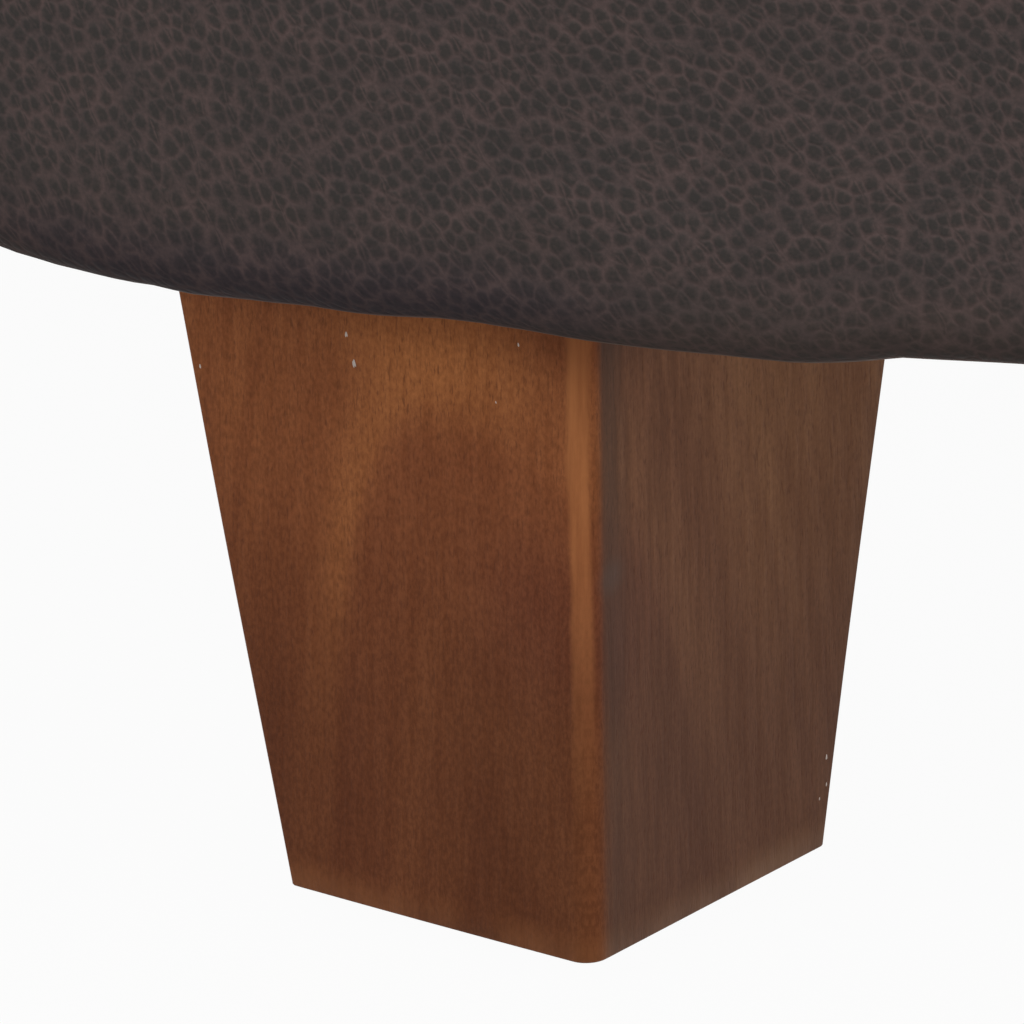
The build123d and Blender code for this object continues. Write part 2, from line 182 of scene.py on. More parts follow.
def quads(many, rows, strips):
    """Corners of the faces between neighbouring columns, round the drum, and neighbouring rows."""
    i, j = np.arange(many)[:, None], np.arange(strips)[None, :]
    i2, j2 = (i + 1) % many, (j + 1) % rows
    corners = np.broadcast_arrays(i * rows + j, i2 * rows + j, i2 * rows + j2, i * rows + j2)
    return np.stack(corners, axis=-1).reshape(-1, 4).tolist()


def turned(name, profile, angles, shape):
    """A closed skin turned about the axis. Its UV map lies flat in metres, like the cut hide."""
    profile = np.array(profile)
    travel = np.concatenate([[0], np.cumsum(np.hypot(*np.diff(profile, axis=0).T))])
    many, rows = len(angles), len(profile)
    a = np.repeat(angles[:, None], rows, axis=1)
    r = np.repeat(profile[None, :, 0], many, axis=0)
    z = np.repeat(profile[None, :, 1], many, axis=0)
    r, z = shape(a, r, z)
    places = np.stack([r * np.cos(a), r * np.sin(a), z], axis=-1).reshape(-1, 3)
    mesh = bpy.data.meshes.new(name)
    mesh.from_pydata(places.tolist(), [], quads(many, rows, rows))
    u = np.append(angles, angles[0] + FULL_TURN) * DRUM
    v = np.append(travel, travel[-1] + 0.001)
    near, far, low, high = u[:-1, None], u[1:, None], v[None, :-1], v[None, 1:]
    spots = np.stack(np.broadcast_arrays(near, low, far, low, far, high, near, high), axis=-1)
    mesh.uv_layers.new(name="cut").data.foreach_set("uv", spots.reshape(-1))
    return finished(name, mesh)


def finished(name, mesh):
    """Puts a mesh in the scene, smooth, with its faces turned outwards."""
    work = bmesh.new()
    work.from_mesh(mesh)
    bmesh.ops.recalc_face_normals(work, faces=work.faces)
    work.to_mesh(mesh)
    work.free()
    mesh.shade_smooth()
    piece = bpy.data.objects.new(name, mesh)
    scene.collection.objects.link(piece)
    return piece


def arc(centre, radius, first, last, steps):
    """Points of an arc in the drum's section, from one angle in degrees to another."""
    turns = np.radians(np.linspace(first, last, steps))
    return [(centre[0] + radius * cos(t), centre[1] + radius * sin(t)) for t in turns]


def bowed(level, depth=0.0):
    """Radius of the band's drawn-in upper part at a level, at a depth in it."""
    return DRUM - BOW_RADIUS + sqrt((BOW_RADIUS - depth) ** 2 - (level - BOW_LEVEL) ** 2)


def side_radius(level):
    """Radius of the band's outside at any level above the hem, near enough to lay things on it."""
    return DRUM - np.clip(level - BOW_LEVEL, 0, 1) ** 2 / 2 / BOW_RADIUS


def band_section(depth):
    """The band from its stapled edge to its edge in the piping seam, at a depth in the leather."""
    under = [(x, 0.1258 + depth) for x in np.linspace(0.3209, 0.353, 9)]
    roll = arc((HEM_CENTRE, HEM_LEVEL), HEM_ROLL - depth, 214, 360, 30)
    upright = [(DRUM - depth, z) for z in np.linspace(HEM_LEVEL, BOW_LEVEL, 58)[1:]]
    top = SEAM_LEVEL - SEAM_HALF - depth
    drawn = [(bowed(z, depth), z) for z in np.linspace(BOW_LEVEL, top, 34)[1:]]
    seam = [(x, top) for x in np.linspace(drawn[-1][0] - 0.001, SEAM_EDGE, 5)]
    return under + roll + upright + drawn + seam


def join_groove(angle, radius):
    """How deep the leather sinks into a sewn join, and swells beside it."""
    sunk = np.zeros_like(angle)
    for join in JOIN_ANGLES:
        off = np.abs(angle - join) * radius
        sunk -= 0.0012 * np.exp(-(off / 0.0009) ** 2)
        sunk += 0.0005 * np.exp(-((off - 0.003) / 0.0022) ** 2)
    return sunk


def settled(section, slack, cap, press=4, many=240, moments=20):
    """Swells a sheet of hide, a little too large, between its two sewn rims with the Cloth modifier.
    Gives a reader of how far it then leaves its even shape, outwards and upwards."""
    rows = len(section)
    even = np.array(section)
    angles = np.arange(many) * FULL_TURN / many
    out_ways = np.stack([np.cos(angles), np.sin(angles)], axis=-1)
    levels = np.repeat(even[None, :, 1:], many, axis=0)
    places = np.concatenate([even[None, :, :1] * out_ways[:, None], levels], axis=-1)
    mesh = bpy.data.meshes.new("swelling_sheet")
    mesh.from_pydata(places.reshape(-1, 3).tolist(), [], quads(many, rows, rows - 1))
    sheet = bpy.data.objects.new("swelling_sheet", mesh)
    scene.collection.objects.link(sheet)
    sewn = sheet.vertex_groups.new(name="sewn")
    for row in (0, 1, rows - 1):
        sewn.add([int(k) * rows + row for k in range(many)], 1.0, "REPLACE")
    swelling = sheet.modifiers.new("swelling", "CLOTH")
    cloth = swelling.settings
    cloth.vertex_group_mass = "sewn"
    cloth.use_pressure = True
    cloth.uniform_pressure_force = press
    cloth.effector_weights.gravity = 0
    cloth.shrink_min = -slack
    cloth.mass = 0.5
    swelling.collision_settings.use_collision = False
    swelling.point_cache.frame_start, swelling.point_cache.frame_end = 1, moments
    for moment in range(1, moments + 1):
        scene.frame_set(moment)
    swollen = sheet.evaluated_get(bpy.context.evaluated_depsgraph_get())
    found = np.empty(len(mesh.vertices) * 3)
    swollen.data.vertices.foreach_get("co", found)
    off = found.reshape(many, rows, 3) - places
    moved = np.stack([(off[..., :2] * out_ways[:, None]).sum(-1), off[..., 2]], axis=-1)
    bpy.data.objects.remove(sheet)
    scene.frame_set(1)
    moved -= moved.mean(axis=0)
    moved = cap * np.tanh(moved / cap)
    turns = np.fft.rfft(moved, axis=0)[:many // 3] / many
    turns[1:] *= 2

    def read(a, row):
        once, which = np.unique(a, return_inverse=True)
        beats = np.exp(1j * np.outer(once, np.arange(len(turns))))
        grid = (beats @ turns.reshape(len(turns), -1)).real.reshape(len(once), rows, 2)
        which = which.reshape(np.shape(a))
        low = np.clip(np.floor(row).astype(int), 0, rows - 2)
        part = np.clip(row - low, 0, 1)[..., None]
        return np.moveaxis(grid[which, low] * (1 - part) + grid[which, low + 1] * part, -1, 0)

    return read


side_rows = SEAM_LEVEL - (SEAM_LEVEL - 0.134) * (1 - np.cos(np.linspace(0, pi, 44))) / 2
side_slack = settled([(side_radius(z), z) for z in side_rows], 0.006, 0.0007)

# How far the hem beside the front left leg hangs below an even curve, in millimetres by degrees
HEM_FALLS = ((214, 0), (217.3, -0.6), (218, 0), (219, 0.3), (221.5, -0.3), (222.6, 0.4), (224.5, 0.4),
             (225.4, 0.05), (226.7, 0.2), (228.4, -0.3), (230, 0.45), (232, 0.3), (235, 0.15),
             (236.7, 0.35), (237.9, -0.2), (239, -1.15), (241.5, -0.9), (248, 0))


def band_shape(a, r, z):
    """Slack and pull of the leather: a wavy hem, small gathers at hem and piping, soft sides."""
    degrees = np.degrees(a)
    lowest = np.interp(degrees, *zip(*HEM_FALLS)) / 1000
    for fall, middle, reach in ((0.0012, 221.3, 2.1), (-0.00105, 229.9, 1.6), (0.0004, 236.2, 2.4)):
        lowest += fall * np.exp(-((degrees - middle) / reach) ** 2)
    away = np.clip((np.abs(degrees - 229) - 14) / 10, 0, 1)
    lowest += away * waves(a, 3, (17, 23, 31, 41), 0.0007)
    outside = np.clip((r - 0.356) / 0.006, 0, 1)
    near_hem = np.exp(-(np.clip(z - 0.128, 0, 1) / 0.022) ** 2)
    z = z - lowest * near_hem * outside
    pulls = waves(a, 5, (61, 83, 97, 131), 0.00018) * np.exp(-(np.abs(z - 0.14) / 0.03) ** 2)
    gathers = waves(a, 7, (113, 149, 181, 223), 0.00022) * np.exp(-(np.abs(z - 0.42) / 0.016) ** 2)
    sides = waves(a + 4.0 * z, 9, (3, 5, 8, 13), 0.0004) + waves(a - 7.0 * z, 11, (19, 27, 37), 0.00016)
    sides = sides * np.clip((z - 0.13) / 0.05, 0, 1)
    at_seam = np.clip((0.4265 - z) / 0.012, 0, 1)
    swell = side_slack(a, np.interp(-z, -side_rows, np.arange(len(side_rows))))[0]
    r = r + outside * (pulls + gathers * at_seam + sides * at_seam + swell + join_groove(a, DRUM))
    return r, z


def socketed_group(name, inputs, outputs):
    """An empty shader group with float or vector inputs and float or colour outputs."""
    group = bpy.data.node_groups.new(name, "ShaderNodeTree")
    for label, kind, value in inputs:
        socket = group.interface.new_socket(label, in_out="INPUT", socket_type="NodeSocket" + kind)
        if value is not None:
            socket.default_value = value
    for label, kind in outputs:
        group.interface.new_socket(label, in_out="OUTPUT", socket_type="NodeSocket" + kind)
    return group, group.nodes.new("NodeGroupInput"), group.nodes.new("NodeGroupOutput")


def ramp(source, low, high, bottom=0.0, top=1.0, ease="SMOOTHSTEP"):
    """Maps a value from low..high to bottom..top, eased at both ends."""
    links = {"Value": source, "From Min": low, "From Max": high, "To Min": bottom, "To Max": top}
    return node(source.id_data, "MapRange", links, interpolation_type=ease).outputs["Result"]


def times(product, *factors):
    """The product of several masks."""
    for factor in factors:
        product = maths("MULTIPLY", product, factor)
    return product


def vectors(how, *values):
    """One Vector Math node on sockets or plain vectors."""
    made = node(tree_of(*values), "VectorMath", dict(enumerate(values)), operation=how)
    return made.outputs["Value" if how in ("DISTANCE", "LENGTH") else "Vector"]


def split(place):
    """The X, Y and Z of a place."""
    return node(place.id_data, "SeparateXYZ", {"Vector": place}).outputs


def soft_noise(tree, scale, detail=2, **links):
    """A soft noise from 0 to 1."""
    return node(tree, "TexNoise", {"Scale": scale, "Detail": detail, **links}).outputs["Fac"]


def blend_colours(share, first, second, mode="MIX"):
    """Mixes two colours by a share, all of them sockets or plain values."""
    made = node(tree_of(share, first, second), "Mix", data_type="RGBA", blend_type=mode)
    for index, value in ((0, share), (6, first), (7, second)):
        feed(made.inputs[index], value)
    return made.outputs[2]


def scaled_by(tone, share, first, second):
    """Multiplies a tone by a colour that a mask picks between two."""
    return blend_colours(1.0, tone, blend_colours(share, first, second), "MULTIPLY")


def shaken(place, noise, reach):
    """A place moved about by a noise's colour, so that what is drawn with it wanders."""
    centred = vectors("ADD", noise.outputs["Color"], (-0.5, -0.5, -0.5))
    return vectors("ADD", place, vectors("MULTIPLY", centred, reach))


pebble, entry, exit_ = socketed_group(
    "pebble_grain",
    [("Place", "Vector", None), ("Cells per metre", "Float", 500.0), ("Long creases", "Float", 0.5)],
    [("Crease", "Float"), ("Height", "Float"), ("Patch", "Float")],
)
hide, per_metre = entry.outputs["Place"], entry.outputs["Cells per metre"]


def bent_by(place, scale, reach):
    """The hide's place, wandering by a soft noise."""
    noise = node(pebble, "TexNoise", {"Vector": place, "Scale": scale, "Detail": 0})
    return shaken(place, noise, (reach, reach, 0.0))


bent = bent_by(bent_by(hide, 11.0, 0.014), 330.0, 0.001)


def cell_pattern(stretch, scale, feature, randomness, **more):
    """Cells drawn out along the grain's slant: their distances by one Voronoi feature."""
    slant = node(pebble, "Mapping", {"Vector": bent, "Rotation": (0, 0, radians(-57)),
                                     "Scale": (stretch, 1, 1)}, vector_type="TEXTURE")
    links = {"Vector": slant.outputs[0], "Scale": scale, "Randomness": randomness, **more}
    return node(pebble, "TexVoronoi", links, voronoi_dimensions="2D", feature=feature).outputs["Distance"]


blobs = cell_pattern(1.28, per_metre, "SMOOTH_F1", 0.86, Smoothness=0.35)
cells = cell_pattern(1.28, per_metre, "DISTANCE_TO_EDGE", 0.86)
long_gap = cell_pattern(3, 235, "DISTANCE_TO_EDGE", 0.65)
patchy = soft_noise(pebble, 150, 3, Vector=hide)
pore = soft_noise(pebble, 1600, 3, Vector=hide)
drawn = times(ramp(long_gap, -0.03, 0.1, 1, 0),
              ramp(patchy, 0.36, 0.58, 0.35, 1), entry.outputs["Long creases"])
shade = ramp(blobs, 0.2, 0.64)
web = times(ramp(cells, -0.05, 0.25, 1, 0), ramp(patchy, 0.36, 0.62, 0.6, 0.92),
            ramp(long_gap, 0.02, 0.12, 0.4, 1))
crease = times(shade, ramp(patchy, 0.34, 0.66, 0.49, 0.57))
crease = maths("MAXIMUM", maths("MULTIPLY_ADD", web, 0.38, crease), drawn)
crease = maths("MULTIPLY_ADD", pore, 1.1, maths("ADD", crease, -0.55))
domed = maths("MULTIPLY_ADD", shade, -0.85, maths("MULTIPLY_ADD", web, -0.35, 1.0))
domed = maths("MULTIPLY_ADD", drawn, -0.45, domed)
domed = maths("MULTIPLY_ADD", pore, 0.12, domed)
feed(exit_.inputs["Crease"], crease)
feed(exit_.inputs["Height"], domed)
feed(exit_.inputs["Patch"], ramp(patchy, 0.32, 0.68))


def new_material(name):
    """A material with an empty Principled BSDF, ready for its nodes."""
    made = bpy.data.materials.new(name)
    made.use_nodes = True
    tree = made.node_tree
    return made, tree, tree.nodes["Principled BSDF"]


def place_group(tree, group, **links):
    """Places a shader group in a material, feeds its inputs and gives its outputs."""
    made = tree.nodes.new("ShaderNodeGroup")
    made.node_tree = group
    for key, value in links.items():
        feed(made.inputs[key.replace("_", " ")], value)
    return made.outputs


def surfaced(shader, tone, roughness, height, strength, depth):
    """Feeds a material its colour, its roughness and its relief."""
    feed(shader.inputs["Base Color"], tone)
    feed(shader.inputs["Roughness"], roughness)
    relief = node(shader.id_data, "Bump", {"Height": height, "Strength": strength, "Distance": depth})
    feed(shader.inputs["Normal"], relief.outputs[0])


def leather_finish(name, cell, web_colour, long_creases, rub, rolled_hem=False):
    """Espresso faux leather: pebble grain, matt cells, a low sheen, paler where it is stretched.
    A rolled hem is pulled flatter; it has painted shade, deepest above a leg, and a painted highlight as a
    pale line at its very edge."""
    made, tree, shader = new_material(name)
    hide = node(tree, "UVMap", uv_map="cut").outputs["UV"]
    grain = place_group(tree, pebble, Place=hide, Long_creases=long_creases)
    creased, raised = grain["Crease"], grain["Height"]
    if rolled_hem:
        travel = split(hide)["Y"]
        drawn_flat = ramp(travel, 0.056, 0.076, 0.58, 1)
        creased = maths("MULTIPLY_ADD", maths("ADD", creased, -0.45), drawn_flat, 0.45)
        raised = times(raised, drawn_flat)
    tone = blend_colours(creased, cell, web_colour)
    tone = scaled_by(tone, grain["Patch"], (0.93, 0.95, 0.96), (1.06, 1.04, 1.03))
    worn = ramp(node(tree, "NewGeometry").outputs["Pointiness"], 0.505, 0.56, 0, rub)
    tone = blend_colours(worn, tone, (0.135, 0.1, 0.088))
    shader.inputs["Specular IOR Level"].default_value = 0.085
    if rolled_hem:
        # Painted shade under the rolled hem: deep and bluish above each leg, next to none between the legs
        rolled = times(ramp(travel, 0.0575, 0.07, 1, 0), ramp(grain["Crease"], 0.1, 0.9, 1, 0.45))
        spot = split(node(tree, "TexCoord").outputs["Object"])
        slantwise = maths("ABSOLUTE", times(spot["X"], spot["Y"]))
        painted_shade_by_a_leg = ramp(slantwise, 0.0662, 0.0694)
        depth = blend_colours(painted_shade_by_a_leg, (1.03, 1.02, 0.98), (0.75, 0.75, 0.88))
        tone = scaled_by(tone, rolled, WHITE, depth)
        # Painted highlight: a thin pale line along the lowest edge of the hem
        rim = times(ramp(travel, 0.05, 0.0512), ramp(travel, 0.0524, 0.0538, 0.4, 0))
        tone = blend_colours(rim, tone, (0.3, 0.205, 0.165))
        feed(shader.inputs["Specular IOR Level"], ramp(travel, 0.056, 0.078, 0.012, 0.085))
    surfaced(shader, tone, ramp(grain["Crease"], 0, 1, 0.52, 0.66), raised, 0.6, 0.0003)
    return made


band_leather = leather_finish("band_leather", (0.038, 0.0332, 0.031), (0.0895, 0.062, 0.059),
                              0.72, 0.1, rolled_hem=True)
band_outside = band_section(0)
band_inside = band_section(LEATHER)[::6]
leather_band = turned("leather_band", band_outside + band_inside[::-1], columns(AROUND, JOIN_ANGLES),
                      band_shape)
leather_band.data.materials.append(band_leather)
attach(leather_band, "root")
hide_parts("cover_side")


def tubes(name, strings):
    """One mesh of closed tubes, each a string of rings of points."""
    work = bmesh.new()
    for string in strings:
        rings = [[work.verts.new(point) for point in ring] for ring in string]
        many = len(rings[0])
        for one, two in zip(rings, rings[1:]):
            for k in range(many):
                work.faces.new((one[k], one[(k + 1) % many], two[(k + 1) % many], two[k]))
        work.faces.new(rings[0][::-1])
        work.faces.new(rings[-1])
    mesh = bpy.data.meshes.new(name)
    work.to_mesh(mesh)
    work.free()
    return finished(name, mesh)


def stitch(spot, along_way, out_way, length=0.0033, thickness=0.0007):
    """A short thread stitch, thin and sunk at both ends, as rings of points."""
    along_way, out_way = Vector(along_way).normalized(), Vector(out_way).normalized()
    side_way = along_way.cross(out_way)
    rings = []
    for share, fat, lift in ((-0.5, 0.35, -0.5), (-0.36, 0.85, 0.1), (-0.12, 1, 0.5), (0.12, 1, 0.5),
                             (0.36, 0.85, 0.1), (0.5, 0.35, -0.5)):
        middle = Vector(spot) + along_way * share * length + out_way * lift * thickness
        turns = [k * pi / 4 for k in range(8)]
        rings.append([middle + (out_way * cos(turn) + side_way * sin(turn)) * fat * thickness / 2
                      for turn in turns])
    return rings


thread, tree, shader = new_material("bonded_thread")
twist = soft_noise(tree, 1800)
surfaced(shader, blend_colours(twist, (0.03, 0.02, 0.016), (0.075, 0.052, 0.043)), 0.45, twist, 0.5, 0.0002)

strings = []
for join in JOIN_ANGLES:
    for level in np.arange(0.134, 0.42, 0.0042):
        for side in (-1, 1):
            angle = join + side * 0.0042 / DRUM
            levels = np.array([level, level + 0.001])
            radius, height = band_shape(np.full(2, angle), side_radius(levels), levels)
            out_way = (cos(angle), sin(angle), 0)
            rise = radius[1] - radius[0]
            strings.append(stitch((radius[0] * out_way[0], radius[0] * out_way[1], height[0]),
                                  (rise * out_way[0], rise * out_way[1], height[1] - height[0]), out_way))
join_stitches = tubes("join_stitches", strings)
join_stitches.data.materials.append(thread)
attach(join_stitches, "root")

# The leather top panel: one round piece of the same hide, drawn down over the fibre and sewn to the
# piping all round.
TOP_LEVEL = 0.45
TOP_RIM = 0.3686
TOP_FOOT = SEAM_LEVEL + SEAM_HALF


def crown(radius):
    """Height of the top: nearly level in the middle, rounding over to the piping."""
    fall = np.clip(1 - (np.clip(radius, 0, 1) / 0.369) ** 5, 0, 1)
    return TOP_FOOT + (TOP_LEVEL - TOP_FOOT) * fall ** 0.62


top_rows = TOP_RIM * (1 - 0.985 * np.linspace(0, 1, 46) ** 1.6)
top_slack = settled([(x, float(crown(x))) for x in top_rows], 0.01, 0.0015)


def top_shape(a, r, z):
    """Gathers beside the piping, and a top that has been sat on a little."""
    near_edge = np.exp(-((0.366 - r) / 0.02) ** 2) * np.clip((0.3685 - r) / 0.004, 0, 1)
    gathers = waves(a, 21, (109, 137, 173, 211), 0.0004) * near_edge
    broad = np.exp(-((0.352 - r) / 0.034) ** 2) * waves(a, 23, (11, 17, 29, 43), 0.0007)
    x, y = r * np.cos(a), r * np.sin(a)
    dips = 0.0011 * (np.sin(9.1 * x + 2.3 * y + 0.8) * np.sin(7.3 * y - 3.1 * x + 2.1) - 1)
    over = (z > SEAM_LEVEL + 0.0022)
    swell = top_slack(a, np.interp(-r, -top_rows, np.arange(len(top_rows))))[1]
    swell = swell * np.clip((r - 0.19) / 0.15, 0, 1)
    z = z + over * (gathers + broad + swell + dips * np.clip((0.36 - r) / 0.08, 0, 1))
    return r, z


def laid_flat(mesh):
    """Lays a round skin's UV map as the sheet it is cut from, seen from above."""
    flat = np.empty(len(mesh.vertices) * 3)
    mesh.vertices.foreach_get("co", flat)
    corner_of = np.empty(len(mesh.loops), dtype=np.int32)
    mesh.loops.foreach_get("vertex_index", corner_of)
    spots = flat.reshape(-1, 3)[corner_of][:, :2]
    mesh.uv_layers["cut"].data.foreach_set("uv", spots.reshape(-1))


reaches = TOP_RIM - TOP_RIM * (1 - np.cos(np.linspace(0, pi / 2, 96)[:-1])) ** 1.25
reaches = np.append(reaches, (0.004, 0.0015, 0.0005, 0.0002))
top_outside = [(x, TOP_FOOT) for x in (SEAM_EDGE, SEAM_BEND)] + [(x, float(crown(x))) for x in reaches]
inner_foot = TOP_FOOT + LEATHER
inner_rim = TOP_RIM - LEATHER
inner_reaches = (reaches * inner_rim / TOP_RIM)[::4]
top_inside = [(x, inner_foot) for x in (SEAM_EDGE, SEAM_BEND)]
top_inside += [(x, max(float(crown(x * TOP_RIM / inner_rim)) - LEATHER, inner_foot)) for x in inner_reaches]
leather_top = turned("leather_top", top_outside + top_inside[::-1], columns(AROUND), top_shape)
laid_flat(leather_top.data)
leather_top.data.materials.append(leather_finish("top_leather", (0.035, 0.031, 0.029),
                                                 (0.088, 0.062, 0.0595), 0.55, 0.1))
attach(leather_top, "root")
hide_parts("cover_top")

# The piping: a cord wrapped in a bias strip of the hide, its tape sewn between the top panel and the
# band. It rides up and down a little.
CORD_REACH = 0.3715
TAPE_HALF = 0.00045
TAPE_EDGE = 0.3595

cord_section = [(x, SEAM_LEVEL - TAPE_HALF) for x in (TAPE_EDGE, SEAM_BEND)]
cord_section += arc((CORD_REACH, SEAM_LEVEL), 0.0035, 187.5, 532.5, 30)
cord_section += [(x, SEAM_LEVEL + TAPE_HALF) for x in (SEAM_BEND, TAPE_EDGE)]


def cord_shape(a, r, z):
    """The cord rides up and down and thins a little where the bias strip is pulled."""
    outside = np.clip((r - 0.3675) / 0.001, 0, 1)
    fat = 1 + waves(a, 31, (59, 87, 141), 0.02)
    r = r + outside * ((r - CORD_REACH) * (fat - 1) + waves(a, 33, (5, 9, 14), 0.0003))
    z = z + outside * ((z - SEAM_LEVEL) * (fat - 1) + waves(a, 35, (7, 12, 19), 0.0003))
    return r, z


piping = turned("piping", cord_section, columns(900), cord_shape)
piping.data.materials.append(leather_finish("piping_leather", (0.0345, 0.0305, 0.0285),
                                            (0.074, 0.053, 0.05), 0.15, 0.3))
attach(piping, "root")
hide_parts("welt")

# The legs: solid hardwood blocks sawn to a taper, stained reddish walnut and sprayed with a satin lacquer.
# The outward edge is well rounded, and a paler orange strip is painted along it as its highlight.
LEG_FOOT, LEG_TOP = 0.004, 0.125
FOOT_HALF, TOP_HALF = 0.02775, 0.04
SLOPE = (TOP_HALF - FOOT_HALF) / (LEG_TOP - LEG_FOOT)
LEG_REACH = 0.295  # from the drum's axis to a leg's
LEG_TURN = 11  # degrees that a leg's diagonal is turned off the radius

grain, entry, exit_ = socketed_group(
    "stained_grain",
    [("Place", "Vector", None), ("Heart", "Vector", (0.0, 0.0, 0.0)), ("Arch", "Float", 0.0265),
     ("Seed", "Float", 0.0)],
    [("Ring", "Float"), ("Band", "Float"), ("Inside", "Float"), ("Streak", "Float"), ("Fleck", "Float"),
     ("Cloud", "Float"), ("Grit", "Float")],
)
place, seed_in = entry.outputs["Place"], entry.outputs["Seed"]
sides = split(place)
lift = sides["Z"]
outward = ramp(maths("ADD", sides["X"], sides["Y"]), -0.001, 0.001, 0, -SLOPE)
inward = maths("MULTIPLY_ADD", outward, 2.2, SLOPE)
wide = maths("MULTIPLY_ADD", lift, outward, maths("MAXIMUM", sides["X"], sides["Y"]))
narrow = maths("MULTIPLY_ADD", lift, inward, maths("MINIMUM", sides["X"], sides["Y"]))
on_face = node(grain, "CombineXYZ", {"X": wide, "Y": narrow, "Z": lift}).outputs[0]


def drawn_noise(scale, detail, roughness=0.55, within=on_face):
    """A noise drawn out straight down each face, different on each leg."""
    spread = node(grain, "Mapping", {"Vector": within, "Scale": scale})
    return node(grain, "TexNoise", {"Vector": spread.outputs[0], "W": seed_in, "Scale": 1, "Detail": detail,
                                    "Roughness": roughness}, noise_dimensions="4D")


leaned = node(grain, "CombineXYZ", {"X": maths("MULTIPLY", lift, -SLOPE)}).outputs[0]
shake = drawn_noise((34, 34, 15), 3, within=place)
warped = shaken(vectors("ADD", place, leaned), shake, (0.003, 0.0035, 0.0))
above = split(vectors("SUBTRACT", warped, entry.outputs["Heart"]))
broader = maths("MULTIPLY_ADD", maths("MAXIMUM", above["Y"], 0.0), -0.55, above["Y"])
rounding = maths("MULTIPLY", maths("MAXIMUM", above["Z"], 0.0), 0.271)
domed = node(grain, "CombineXYZ", {"X": above["X"], "Y": broader, "Z": rounding}).outputs[0]
age = maths("MULTIPLY_ADD", above["Z"], 0.2, vectors("LENGTH", domed))
year = maths("MULTIPLY_ADD", age, 150.0, seed_in)
rings = node(grain, "TexNoise", {"W": year, "Scale": 1, "Detail": 2, "Roughness": 0.5}, noise_dimensions="1D")
from_arch = maths("SUBTRACT", age, entry.outputs["Arch"])
band = times(ramp(from_arch, -0.001, 0.0012), ramp(from_arch, 0.0014, 0.0075, 1, 0),
             ramp(above["Y"], -0.002, 0.016, 1, 0.2), ramp(above["Z"], -0.014, 0.034))
inside = times(ramp(from_arch, -0.004, 0.001, 1, 0), ramp(above["Y"], 0, 0.016, 1, 0.6),
               ramp(from_arch, -0.016, -0.006, 0.4, 1))
feed(exit_.inputs["Band"], band)
feed(exit_.inputs["Inside"], inside)
for label, noise, low, high in (("Ring", rings, 0.34, 0.66),
                                ("Streak", drawn_noise((900, 900, 60), 4, 0.6), 0.3, 0.7),
                                ("Fleck", drawn_noise((2500, 2500, 480), 2), 0.53, 0.7),
                                ("Cloud", drawn_noise((60, 60, 26), 4, within=place), 0.3, 0.7),
                                ("Grit", drawn_noise((1500, 1500, 850), 4, 0.65), 0.3, 0.7)):
    feed(exit_.inputs[label], ramp(noise.outputs["Fac"], low, high))


